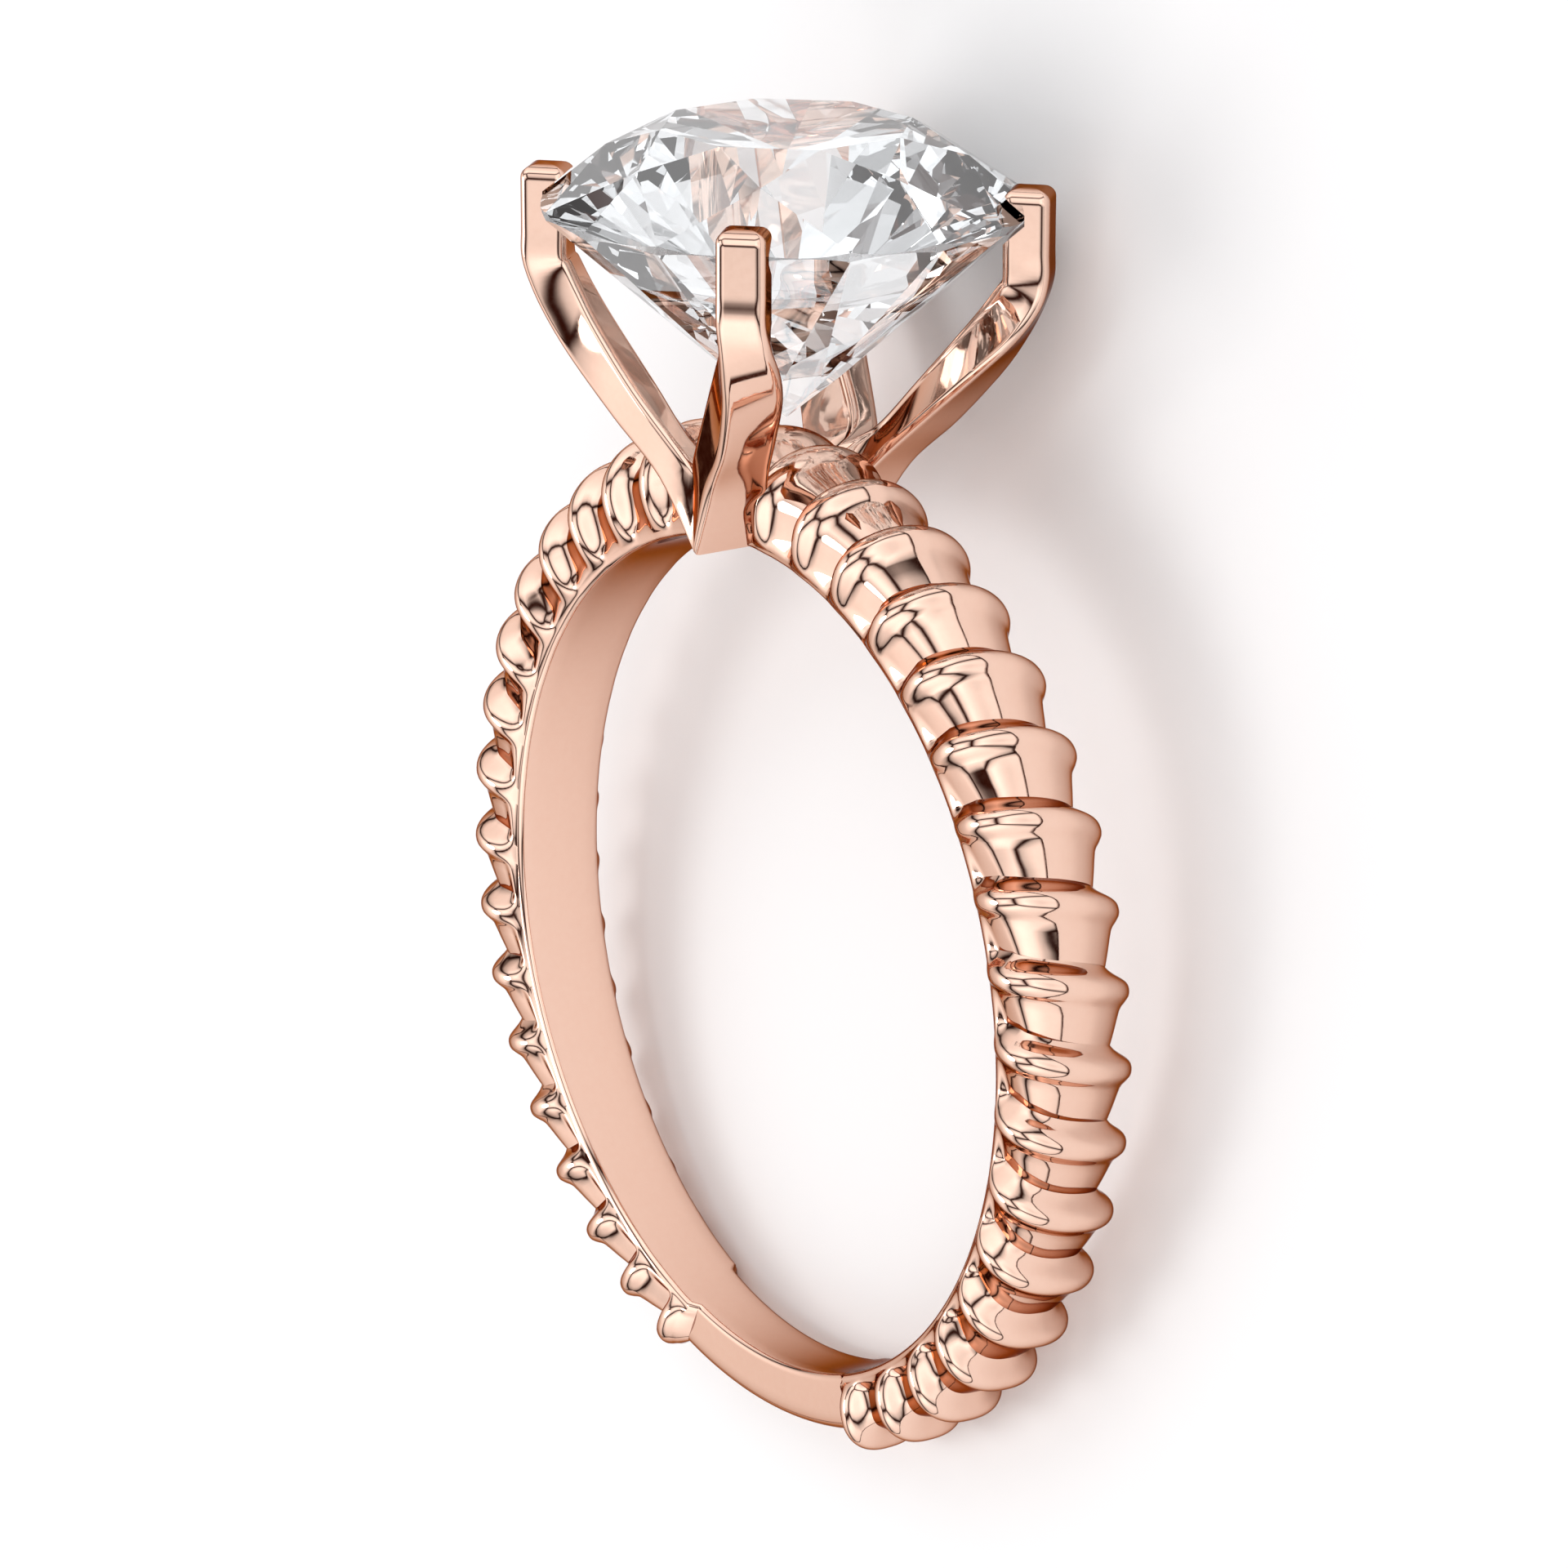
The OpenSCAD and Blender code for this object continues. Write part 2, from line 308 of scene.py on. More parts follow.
@dataclass(frozen=True)
class RingSizes:
    """Sizes that the shank, the head and the stone share."""

    bore_d: float = 16.5
    band_w_head: float = 1.72
    band_w_side: float = 1.6
    band_w_back: float = 1.36
    stone_d: float = 9.2
    stone_lift: float = 2.4
    table_share: float = 0.527
    crown_share: float = 0.156
    girdle_share: float = 0.018
    pavilion_share: float = 0.438
    seat_gap: float = 0.02

    @property
    def bore_r(self) -> float:
        """Radius of the finger hole."""
        return self.bore_d / 2

    @property
    def stone_r(self) -> float:
        """Radius of the stone."""
        return self.stone_d / 2

    @property
    def culet_z(self) -> float:
        """Height of the stone's point above the ring's middle."""
        return self.bore_r + self.stone_lift

    @property
    def girdle_low_z(self) -> float:
        """Height of the girdle's lower edge."""
        return self.culet_z + self.pavilion_share * self.stone_d

    @property
    def girdle_top_z(self) -> float:
        """Height of the girdle's upper edge."""
        return self.girdle_low_z + self.girdle_share * self.stone_d

    @property
    def girdle_mid_z(self) -> float:
        """Height of the girdle's middle."""
        return (self.girdle_low_z + self.girdle_top_z) / 2

    @property
    def table_z(self) -> float:
        """Height of the stone's table."""
        return self.girdle_top_z + self.crown_share * self.stone_d

    @property
    def table_r(self) -> float:
        """Distance of the table's corners from the stone's axis."""
        return self.table_share * self.stone_r


@dataclass
class TwistedShank:
    """Tapering core of the shank, and the coil of raised turns around it."""

    sizes: RingSizes
    core_t: tuple[float, float, float] = (1.79, 1.49, 1.18)
    core_w: tuple[float, float, float] = (1.7, 1.86, 1.36)
    turns: int = 18
    turn_pitch: float = 8.89
    mid_angle: float = 91.0
    mid_slack: float = 0.87
    turn_h: float = 0.39
    turn_share: float = 0.63
    middle_fill: float = 0.92
    turn_profile: tuple[tuple[float, float], ...] = (
        (-1.087, 0),
        (-0.75, 0.23),
        (-0.38, 0.49),
        (-0.25, 0.72),
        (-0.12, 0.96),
        (0, 1.02),
        (0.12, 0.97),
        (0.22, 0.78),
        (0.32, 0.45),
        (0.41, 0.18),
        (0.5, 0),
    )
    middle_profile: tuple[tuple[float, float], ...] = (
        (-1, 0),
        (-0.8, 0.32),
        (-0.6, 0.62),
        (-0.4, 0.86),
        (-0.2, 0.99),
        (0, 1.02),
        (0.2, 0.99),
        (0.4, 0.86),
        (0.6, 0.62),
        (0.8, 0.32),
        (1, 0),
    )
    profile_steps: int = 2
    mid_share: float = 0.6
    round_back: float = 0.7
    side_arc: float = 70.0
    side_end: float = 135.0
    side_slack: float = 5.0
    groove_fade: float = 0.42
    groove_end: tuple[float, float, float] = (1.05, 0.88, 0.85)
    slow_from: float = 60.0
    slow_rate: float = 0.8
    bare_rows: int = 60
    oval_step: float = 5.0
    side_steps: int = 16
    band_round: float = 0.13
    round_steps: int = 5
    band_points: int = 5

    def around(self, values: tuple[float, float, float], angle: float) -> float:
        """Quantity with values at the head, the sides and the back, at an angle of the ring."""
        head, side, back = values
        s = math.sin(math.radians(angle))
        return side + (head - back) / 2 * s + ((head + back) / 2 - side) * s * s

    def band_w(self, angle: float) -> float:
        """Width of the flat inside band at an angle of the ring."""
        s = self.sizes
        return self.around((s.band_w_head, s.band_w_side, s.band_w_back), angle)

    def oval_mid(self, angle: float) -> float:
        """Height of the section's widest place above the finger hole."""
        return self.around(self.core_t, angle) * self.mid_share

    def core_place(self, angle: float, q: float) -> tuple[Vector, Vector]:
        """Finds a place on the core's section, and the direction in which a turn swells it.

        Args:
            angle: Angle around the ring, in degrees.
            q: Section angle in degrees, 0 outermost and 90 at the side that faces -Y.

        Returns:
            Height above the hole and distance from the middle plane, and the direction.
        """
        mid = self.oval_mid(angle)
        semi_t = self.around(self.core_t, angle) - mid
        semi_w = self.around(self.core_w, angle) / 2
        side = math.copysign(1, q)
        if abs(q) <= 90:
            c, s = math.cos(math.radians(q)), abs(math.sin(math.radians(q)))
            bend = self.around((1, 1, self.round_back), angle)
            out = Vector((semi_w * max(c, 0) ** (2 - bend), side * semi_t * s ** (2 - bend)))
            return Vector((mid + semi_t * max(c, 0) ** bend, side * semi_w * s**bend)), out.normalized()
        fall = math.radians((abs(q) - 90) / (self.side_end + self.side_slack - 90) * self.side_arc)
        arc = math.radians(self.side_arc)
        draw = (semi_w - self.band_w(angle) / 2) * (1 - math.cos(fall)) / (1 - math.cos(arc))
        return Vector((mid * (1 - math.sin(fall) / math.sin(arc)), side * (semi_w - draw))), Vector((0, side))

    def swell(self, angle: float, q: float, row: tuple[float, float, float]) -> float:
        """Works out how far a turn swells the core at a section angle.

        The turns swell the side less and less towards the band, and the grooves between them run
        out before it.

        Args:
            angle: Angle around the ring, in degrees.
            q: Section angle.
            row: The row's angle, share of the turn's height, and whether it lies in the coil.

        Returns:
            Height above the core.
        """
        reach = max(abs(q) - 90, 0) / (self.side_end - 90)
        stop = self.around(self.groove_end, angle)
        past = min(max((reach - self.groove_fade) / (stop - self.groove_fade), 0), 1)
        groove = 1 - past * past * (3 - 2 * past)
        return self.turn_h * (1 - reach * reach) * lerp(row[2], row[1], groove)

    def coil_angle(self, n: float) -> float:
        """Angle around the ring of a coil position, counted in turns from the middle one."""
        shift = self.mid_slack * n if abs(n) <= 1 else n - math.copysign(1 - self.mid_slack, n)
        return self.mid_angle + self.turn_pitch * shift

    def coil_lead(self, q: float) -> float:
        """Angle that a turn has gained at a section angle: it runs slower past the sides."""
        gained = min(abs(q), self.slow_from) + self.slow_rate * max(abs(q) - self.slow_from, 0)
        return self.turn_pitch * math.copysign(gained, q) / 360

    def rows(self) -> list[tuple[float, float, float]]:
        """Lists the skin's rows around the ring.

        Returns:
            Angle, share of the turn's height, and whether the row lies in the coil.
        """
        outline, middle = (
            [spot for (spot,) in smooth_rows([[Vector(place)] for place in profile], self.profile_steps)]
            for profile in (self.turn_profile, self.middle_profile)
        )
        gentle = self.turn_profile[2][0]
        half = []
        for n in range(-self.turns, 0):
            for place, share in outline[1:]:
                in_coil = n > -self.turns or place > gentle
                half.append((n + place * self.turn_share, share if in_coil else 0.0, float(in_coil)))
        middle_half = (1 - self.turn_share / 2) * self.middle_fill
        coil = half + [(place * middle_half, share, 1.0) for place, share in middle]
        coil += [(-place, share, in_coil) for place, share, in_coil in reversed(half)]
        found = [(self.coil_angle(place), share, in_coil) for place, share, in_coil in coil]
        bare_start, bare_end = found[-1][0], found[0][0] + 360
        steps = [i / (self.bare_rows + 1) for i in range(1, self.bare_rows + 1)]
        return found + [(lerp(bare_start, bare_end, step), 0.0, 0.0) for step in steps]

    def ring_point(self, angle: float, height: float, y: float) -> Vector:
        """Point at a height above the finger hole, in the ring's axes."""
        r, a = self.sizes.bore_r + height, math.radians(angle)
        return Vector((r * math.cos(a), -y, r * math.sin(a)))

    def section(self, row: tuple[float, float, float]) -> list[Vector]:
        """Works out one closed section of the shank.

        Args:
            row: Angle, share of the turn's height, and whether the row lies in the coil.

        Returns:
            The section's points in the ring's axes.
        """
        oval = [i * self.oval_step for i in range(int(90 / self.oval_step))]
        sides = []
        for side in (-1, 1):
            lead = row[0] + self.coil_lead(side * self.side_end)
            drop = 1 - self.band_round / self.oval_mid(lead)
            fall = math.degrees(math.asin(math.sin(math.radians(self.side_arc)) * drop))
            stop = fall / self.side_arc * (self.side_end + self.side_slack - 90)
            upper = oval + [90 + stop * i / self.side_steps for i in range(self.side_steps + 1)]
            points = []
            for q in upper if side > 0 else upper[1:]:
                angle = row[0] + self.coil_lead(side * q)
                place, out = self.core_place(angle, side * q)
                points.append((angle, place + out * self.swell(angle, q, row)))
            angle, place = points[-1]
            edge = place.y - side * self.band_round
            for i in range(1, self.round_steps + 1):
                turn = math.radians(90 * i / self.round_steps)
                height = self.band_round * (1 - math.sin(turn))
                points.append((angle, Vector((height, edge + side * self.band_round * math.cos(turn)))))
            sides.append(points)
        left, right = sides
        loop = [self.ring_point(angle, place.x, place.y) for angle, place in left[::-1] + right]
        (start, here), (stop, there) = right[-1], left[-1]
        for i in range(1, self.band_points + 1):
            share = i / (self.band_points + 1)
            loop.append(self.ring_point(lerp(start, stop, share), 0, lerp(here.y, there.y, share)))
        return loop

    def mesh(self) -> bmesh.types.BMesh:
        """Builds the shank's skin."""
        return skin([self.section(row) for row in self.rows()], closed=True)


@dataclass
class ProngHead:
    """Two V-shaped wires, one on each side of the shank, that end in four prongs."""

    sizes: RingSizes
    prong_w: float = 0.92
    prong_t: float = 0.88
    arm_w: float = 1.0
    prong_angle: float = 43.6
    prong_rise: float = 0.56
    bend_drop: float = 1.16
    bend_h: float = 0.93
    prong_grip: float = 0.43
    prong_round: float = 0.15
    foot_h: float = 1.72
    foot_out: float = 2.1
    foot_lift: float = 1.08
    foot_slant: float = 0.4
    knee_share: float = 0.83
    arm_sections: tuple[tuple[float, float, float, float], ...] = (
        (0.1, 0.92, -5, 0.39),
        (0.28, 0.99, -3, 0.28),
        (0.5, 1.01, -14, 0.25),
        (0.68, 0.97, -29, 0.2),
        (0.86, 0.92, -41, 0.06),
    )
    foot_overlap: float = 0.4
    tip_round: float = 0.3
    tip_h: float = 0.22
    least_round: float = 0.125
    corner_steps: int = 6
    face_shares: tuple[float, ...] = (0.06, 0.5, 0.94)
    arm_steps: int = 6
    prong_steps: int = 3
    tip_steps: int = 6
    seat_steps: int = 96

    def __post_init__(self) -> None:
        """Works out the places that follow from the sizes."""
        s = self.sizes
        prong_r = s.stone_r + self.prong_t / 2 - self.prong_grip
        turn = math.radians(self.prong_angle)
        self.prong_at = (prong_r * math.cos(turn), -prong_r * math.sin(turn))
        self.prong_top = s.girdle_mid_z + self.prong_rise
        self.bend_top = s.girdle_mid_z - self.bend_drop
        self.foot_in = s.band_w_head / 2 - self.prong_round * self.foot_overlap
        arm_out = self.foot_out - self.prong_w / 2
        knee_y = -lerp(arm_out, -self.prong_at[1], self.knee_share)
        self.path = (
            Vector((0, -arm_out, s.bore_r + self.foot_lift)),
            Vector((self.prong_at[0], knee_y, self.bend_top - self.bend_h)),
            Vector((*self.prong_at, self.bend_top)),
        )

    def bar_section(
        self,
        mid: Vector,
        along: Vector,
        turn: float,
        w: float,
        t: float,
        slant: float = 0.0,
        inset: float = 0.0,
    ) -> list[Vector]:
        """Works out a rounded bar section.

        Args:
            mid: Middle of the section.
            along: Direction of the bar.
            turn: Turn about that direction, in degrees.
            w: Width in the V's plane.
            t: Depth, outwards.
            slant: How much deeper the back is along its lower edge.
            inset: Distance that the whole outline draws in.

        Returns:
            The section's points.
        """
        front = (Vector((0, -1, 0)) + along.y * along).normalized()
        side = along.cross(front)
        c, s = math.cos(math.radians(turn)), math.sin(math.radians(turn))
        ww, tt = side * c - front * s, front * c + side * s
        rr = max(self.prong_round - inset, self.prong_round * self.least_round)
        a, b = w / 2 - inset - rr, t / 2 - inset - rr
        corners = []
        for x, y, start in ((1, 1, 0), (-1, 1, 90), (-1, -1, 180), (1, -1, 270)):
            for i in range(self.corner_steps + 1):
                angle = math.radians(start + 90 * i / self.corner_steps)
                corners.append(
                    mid
                    + ww * (x * a + rr * math.cos(angle))
                    + tt * (y * b + rr * math.sin(angle) + slant * x * (y - 1) / 2)
                )
        points = []
        for i, point in enumerate(corners):
            points.append(point)
            if i % (self.corner_steps + 1) == self.corner_steps:
                after = corners[(i + 1) % len(corners)]
                points += [point.lerp(after, share) for share in self.face_shares]
        return points

    def prong_section(self, z: float, inset: float) -> list[Vector]:
        """Level section of a prong at a height, drawn in by an inset."""
        mid, up = Vector((*self.prong_at, z)), Vector((0, 0, 1))
        return self.bar_section(mid, up, -self.prong_angle, self.prong_t, self.prong_w, 0, inset)

    def foot_section(self) -> list[Vector]:
        """Upright section of the foot, in the ring's middle."""
        mid = Vector((0, -(self.foot_out + self.foot_in) / 2, self.sizes.bore_r + self.foot_h / 2))
        depth = self.foot_out - self.foot_in
        return self.bar_section(mid, Vector((1, 0, 0)), 0, self.foot_h, depth, self.prong_w * self.foot_slant)

    def arm_section(self, place: float, w: float, turn: float, slant: float) -> list[Vector]:
        """Works out an arm's section at a place on its curved middle line.

        Args:
            place: Share of the way from the foot to the prong.
            w: Share of the arm's width.
            turn: Turn about its own line, in degrees.
            slant: Slant of its back, as a share of the wire's depth.

        Returns:
            The section's points.
        """
        foot, knee, bend = self.path
        mid = foot.lerp(knee, place).lerp(knee.lerp(bend, place), place)
        along = (knee - foot).lerp(bend - knee, place).normalized()
        return self.bar_section(mid, along, turn, self.arm_w * w, self.prong_w, self.prong_w * slant)

    def half_bar(self) -> list[list[Vector]]:
        """Works out the right half of a V wire, from the foot up.

        Returns:
            Its sections.
        """
        stations = [self.foot_section()]
        stations += [self.arm_section(*s) for s in self.arm_sections]
        start = self.prong_top - self.tip_h
        for i in range(self.prong_steps + 1):
            stations.append(self.prong_section(lerp(self.bend_top, start, i / self.prong_steps), 0))
        bar = smooth_rows(stations, self.arm_steps)[:-1]
        for i in range(self.tip_steps + 1):
            turn = math.radians(90 * i / self.tip_steps)
            inset = self.tip_round * (1 - math.cos(turn))
            bar.append(self.prong_section(start + self.tip_h * math.sin(turn), inset))
        return bar

    def wire(self, half_turn: bool) -> bmesh.types.BMesh:
        """Builds one V wire.

        Args:
            half_turn: Whether it is the wire on the far side of the shank.

        Returns:
            Its closed mesh.
        """
        right = self.half_bar()
        left = [[Vector((-p.x, p.y, p.z)) for p in section] for section in reversed(right[1:])]
        mesh = skin(left + right, closed=False)
        if half_turn:
            turn = Matrix.Rotation(math.pi, 3, "Z")
            bmesh.ops.rotate(mesh, verts=mesh.verts, cent=(0, 0, 0), matrix=turn)
        return mesh

    def seat(self, star: Vector, lower: Vector) -> bmesh.types.BMesh:
        """Builds the room that the bur leaves for the stone in the prongs.

        Args:
            star: Radius and height where the crown's star facets end.
            lower: Radius and height where the lower girdle facets end.

        Returns:
            Its closed mesh.
        """
        s = self.sizes
        seat_r = s.stone_r + s.seat_gap
        up = (star.y - s.girdle_top_z) / (s.stone_r - star.x)
        down = (s.girdle_low_z - lower.y) / (s.stone_r - lower.x)
        outline = (
            (0, s.girdle_low_z - s.seat_gap - seat_r * down),
            (seat_r, s.girdle_low_z - s.seat_gap),
            (seat_r, s.girdle_top_z + s.seat_gap),
            (0, s.girdle_top_z + s.seat_gap + seat_r * up),
        )
        mesh = bmesh.new()
        verts = [mesh.verts.new((r, 0, z)) for r, z in outline]
        edges = [mesh.edges.new(pair) for pair in zip(verts, verts[1:])]
        bmesh.ops.spin(
            mesh,
            geom=verts + edges,
            cent=(0, 0, 0),
            axis=(0, 0, 1),
            angle=math.tau,
            steps=self.seat_steps,
            use_merge=True,
        )
        bmesh.ops.remove_doubles(mesh, verts=mesh.verts, dist=MERGE_MM)
        bmesh.ops.recalc_face_normals(mesh, faces=mesh.faces)
        return mesh


def smooth_rows(stations: Sequence[Sequence[Vector]], steps: int) -> list[list[Vector]]:
    """Adds sections between stations, on smooth curves through their points.

    Args:
        stations: Sections of equal point count.
        steps: Number of spans between two stations.

    Returns:
        All the sections, stations included.
    """
    rows = []
    for i in range(len(stations) - 1):
        before, after = stations[max(i - 1, 0)], stations[min(i + 2, len(stations) - 1)]
        for step in range(steps):
            t = step / steps
            rows.append(
                [
                    0.5
                    * (
                        2 * b
                        + (c - a) * t
                        + (2 * a - 5 * b + 4 * c - d) * t * t
                        + (3 * b - 3 * c + d - a) * t * t * t
                    )
                    for a, b, c, d in zip(before, stations[i], stations[i + 1], after)
                ]
            )
    rows.append(list(stations[-1]))
    return rows


@dataclass
class RoundBrilliant:
    """Round brilliant-cut stone, ground out of a round blank one facet at a time."""

    sizes: RingSizes
    stone_turn: float = 25.5
    star_share: float = 0.5
    lower_share: float = 0.78
    facets: int = 8
    blank_sides: int = 128
    cut_mm: float = 1e-7
    weld_mm: float = 1e-4
    girdle_slope: float = 0.02

    def __post_init__(self) -> None:
        """Works out the levels where facets meet."""
        s = self.sizes
        self.facet_step = 360 / self.facets
        half = math.cos(math.radians(self.facet_step / 2))
        self.star_r = lerp(s.table_r * half, s.stone_r, self.star_share)
        self.lower_r = s.stone_r * (1 - self.lower_share)
        crown_slope = (s.table_z - s.girdle_top_z) / (s.stone_r - s.table_r)
        pavilion_slope = (s.girdle_low_z - s.culet_z) / s.stone_r
        self.star_z = s.table_z - (self.star_r * half - s.table_r) * crown_slope
        self.lower_z = s.culet_z + self.lower_r * half * pavilion_slope

    def point(self, r: float, steps: float, z: float) -> Vector:
        """Point at a radius and height, a number of facet steps around the stone."""
        angle = math.radians(self.stone_turn + steps * self.facet_step)
        return Vector((r * math.cos(angle), r * math.sin(angle), z))

    def facet_planes(self) -> list[tuple[Vector, Vector, Vector]]:
        """Lists three points of each facet's plane.

        Returns:
            The planes of the pavilion, the crown and the stars.
        """
        s = self.sizes
        culet = Vector((0, 0, s.culet_z))
        planes = []
        for k in range(self.facets):
            low = [self.point(self.lower_r, k + side, self.lower_z) for side in (-0.5, 0.5)]
            star = [self.point(self.star_r, k + side, self.star_z) for side in (-0.5, 0.5)]
            corner = [self.point(s.table_r, k + side, s.table_z) for side in (0, 1)]
            planes.append((culet, low[0], low[1]))
            planes.append((corner[0], star[0], star[1]))
            planes.append((corner[0], corner[1], star[1]))
            for side in (0, 1):
                between = k + side - 0.5
                top = [self.point(s.stone_r, place, s.girdle_top_z) for place in (k, between)]
                bottom = [self.point(s.stone_r, place, s.girdle_low_z) for place in (k, between)]
                planes.append((star[side], top[0], top[1]))
                planes.append((low[side], bottom[0], bottom[1]))
        return planes

    def mesh(self) -> bmesh.types.BMesh:
        """Grinds the blank.

        Returns:
            The closed mesh, with the girdle's faces marked by material index 1.
        """
        s = self.sizes
        mesh = bmesh.new()
        bmesh.ops.create_cone(
            mesh,
            cap_ends=True,
            segments=self.blank_sides,
            radius1=s.stone_r,
            radius2=s.stone_r,
            depth=s.table_z - s.culet_z,
            matrix=Matrix.Translation((0, 0, (s.table_z + s.culet_z) / 2)),
        )
        inside = Vector((0, 0, s.girdle_mid_z))
        for a, b, c in self.facet_planes():
            normal = (b - a).cross(c - a).normalized()
            if normal.dot(inside - a) > 0:
                normal.negate()
            cut = bmesh.ops.bisect_plane(
                mesh,
                geom=mesh.verts[:] + mesh.edges[:] + mesh.faces[:],
                dist=self.cut_mm,
                plane_co=a,
                plane_no=normal,
                clear_outer=True,
            )
            edges = [e for e in cut["geom_cut"] if isinstance(e, bmesh.types.BMEdge) and e.is_boundary]
            if edges:
                bmesh.ops.contextual_create(mesh, geom=edges)
        bmesh.ops.remove_doubles(mesh, verts=mesh.verts, dist=self.weld_mm)
        bmesh.ops.recalc_face_normals(mesh, faces=mesh.faces)
        for face in mesh.faces:
            face.material_index = int(abs(face.normal.z) < self.girdle_slope)
        return mesh


@dataclass(frozen=True)
class LyingPose:
    """How the ring lies on the table: on the stone's edge and the last turns of the coil."""

    sizes: RingSizes
    shank: TwistedShank

    def matrix(self) -> Matrix:
        """Works out the turn and shift from the ring's own axes to the table.

        Returns:
            The matrix, with metres as its result.
        """
        s, shank = self.sizes, self.shank
        last_turn = shank.coil_angle(-shank.turns) + shank.coil_lead(-90)
        turn_side = shank.around(shank.core_w, last_turn) / 2 + shank.turn_h
        turn_end = -(s.bore_r + shank.oval_mid(last_turn)) * math.sin(math.radians(last_turn))
        tilt = math.atan((s.stone_r - turn_side) / (s.girdle_low_z + turn_end))
        rest_h = turn_side * math.cos(tilt) + turn_end * math.sin(tilt)
        head_reach = s.table_z * math.cos(tilt) + s.table_r * math.sin(tilt)
        back_reach = (s.bore_r + shank.core_t[2]) * math.cos(tilt)
        shift = Matrix.Translation((0, (back_reach - head_reach) / 2, rest_h))
        turn = Matrix.Rotation(math.radians(-90) + tilt, 4, "X")
        return Matrix.Scale(MM, 4) @ shift @ turn


def as_object(mesh: bmesh.types.BMesh, name: str, pose: Matrix) -> bpy.types.Object:
    """Turns a finished bmesh into an object with its place in its mesh.

    Args:
        mesh: The bmesh, which is freed.
        name: Name of the object.
        pose: Matrix from the mesh's axes to the table.

    Returns:
        The object, linked to the scene.
    """
    mesh.transform(pose)
    data = bpy.data.meshes.new(name)
    mesh.to_mesh(data)
    mesh.free()
    data.shade_smooth()
    data.set_sharp_from_angle(angle=math.radians(SHARP_ANGLE))
    made = bpy.data.objects.new(name, data)
    bpy.context.scene.collection.objects.link(made)
    return made


def join_parts(base: bpy.types.Object, parts: Sequence[bpy.types.Object], joining: Joining) -> None:
    """Solders parts to a base, or cuts them out of it, and removes them.

    Args:
        base: Object that keeps the result.
        parts: Closed objects.
        joining: How the parts meet the base.
    """
    for part in parts:
        step = base.modifiers.new(joining.name.lower(), "BOOLEAN")
        step.operation, step.solver, step.object = joining.value, "EXACT", part
    graph = bpy.context.evaluated_depsgraph_get()
    result = bpy.data.meshes.new_from_object(base.evaluated_get(graph), depsgraph=graph)
    old = base.data
    base.modifiers.clear()
    base.data = result
    bpy.data.meshes.remove(old)
    result.name = base.name
    for part in parts:
        data = part.data
        bpy.data.objects.remove(part)
        bpy.data.meshes.remove(data)


@dataclass
class Ring:
    """The whole ring, with its metal and its stone in their finishes."""

    sizes: RingSizes = field(default_factory=RingSizes)
    gold: PolishedRoseGold = PolishedRoseGold()
    diamond: CutStone = CutStone()

    def __post_init__(self) -> None:
        """Sets up the sub-assemblies from the shared sizes."""
        self.shank = TwistedShank(self.sizes)
        self.head = ProngHead(self.sizes)
        self.stone = RoundBrilliant(self.sizes)
        self.pose = LyingPose(self.sizes, self.shank).matrix()

    def metal(self) -> bpy.types.Object:
        """Builds the soldered metal, shank and head in one piece.

        Returns:
            The dressed object.
        """
        base = as_object(self.shank.mesh(), "rose_gold_ring", self.pose)
        wires = [
            as_object(self.head.wire(half_turn), f"v_wire_{side}", self.pose)
            for half_turn, side in ((False, "front"), (True, "rear"))
        ]
        join_parts(base, wires, Joining.SOLDER)
        star = Vector((self.stone.star_r, self.stone.star_z))
        lower = Vector((self.stone.lower_r, self.stone.lower_z))
        seat = as_object(self.head.seat(star, lower), "stone_seat", self.pose)
        join_parts(base, [seat], Joining.CUT)
        base.data.materials.clear()
        base.data.materials.append(self.gold.material())
        base.data.set_sharp_from_angle(angle=math.radians(SHARP_ANGLE))
        place_piece(base, "shank_and_setting")
        return base

    def jewel(self) -> bpy.types.Object:
        """Builds the stone.

        Returns:
            The dressed object.
        """
        made = as_object(self.stone.mesh(), "round_brilliant", self.pose)
        made.data.shade_flat()
        made.data.materials.append(self.diamond.facets())
        made.data.materials.append(self.diamond.girdle())
        place_piece(made, "round_stone")
        return made


def place_piece(piece: bpy.types.Object, node: str) -> None:
    """Puts a finished piece in the frame in place of a CAD node.

    Args:
        piece: The finished object.
        node: CAD node that it stands for.
    """
    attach(piece, BODY)
    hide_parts(node)
    LOG.info("%s: %d faces", piece.name, len(piece.data.polygons))


def direction(azimuth: float, elevation: float) -> Vector:
    """Direction towards a place seen at an azimuth and elevation, 0 towards -Y and 90 towards +X."""
    a, e = math.radians(azimuth), math.radians(elevation)
    return Vector((math.sin(a) * math.cos(e), -math.cos(a) * math.cos(e), math.sin(e)))


@dataclass(frozen=True)
class SoftLamp:
    """A wide round lamp that draws the soft shadow on the table."""

    azimuth: float = 300.0
    elevation: float = 62.0
    distance_mm: float = 300.0
    width_mm: float = 130.0
    power: float = 0.18

    def hang(self) -> bpy.types.Object:
        """Hangs the lamp and aims it at the ring.

        Returns:
            The light object.
        """
        data = bpy.data.lights.new("soft_lamp", "AREA")
        data.shape = "DISK"
        data.size = self.width_mm * MM
        data.energy = self.power
        made = bpy.data.objects.new(data.name, data)
        away = direction(self.azimuth, self.elevation)
        made.location = away * self.distance_mm * MM
        made.rotation_euler = away.to_track_quat("Z", "Y").to_euler()
        bpy.context.scene.collection.objects.link(made)
        return made


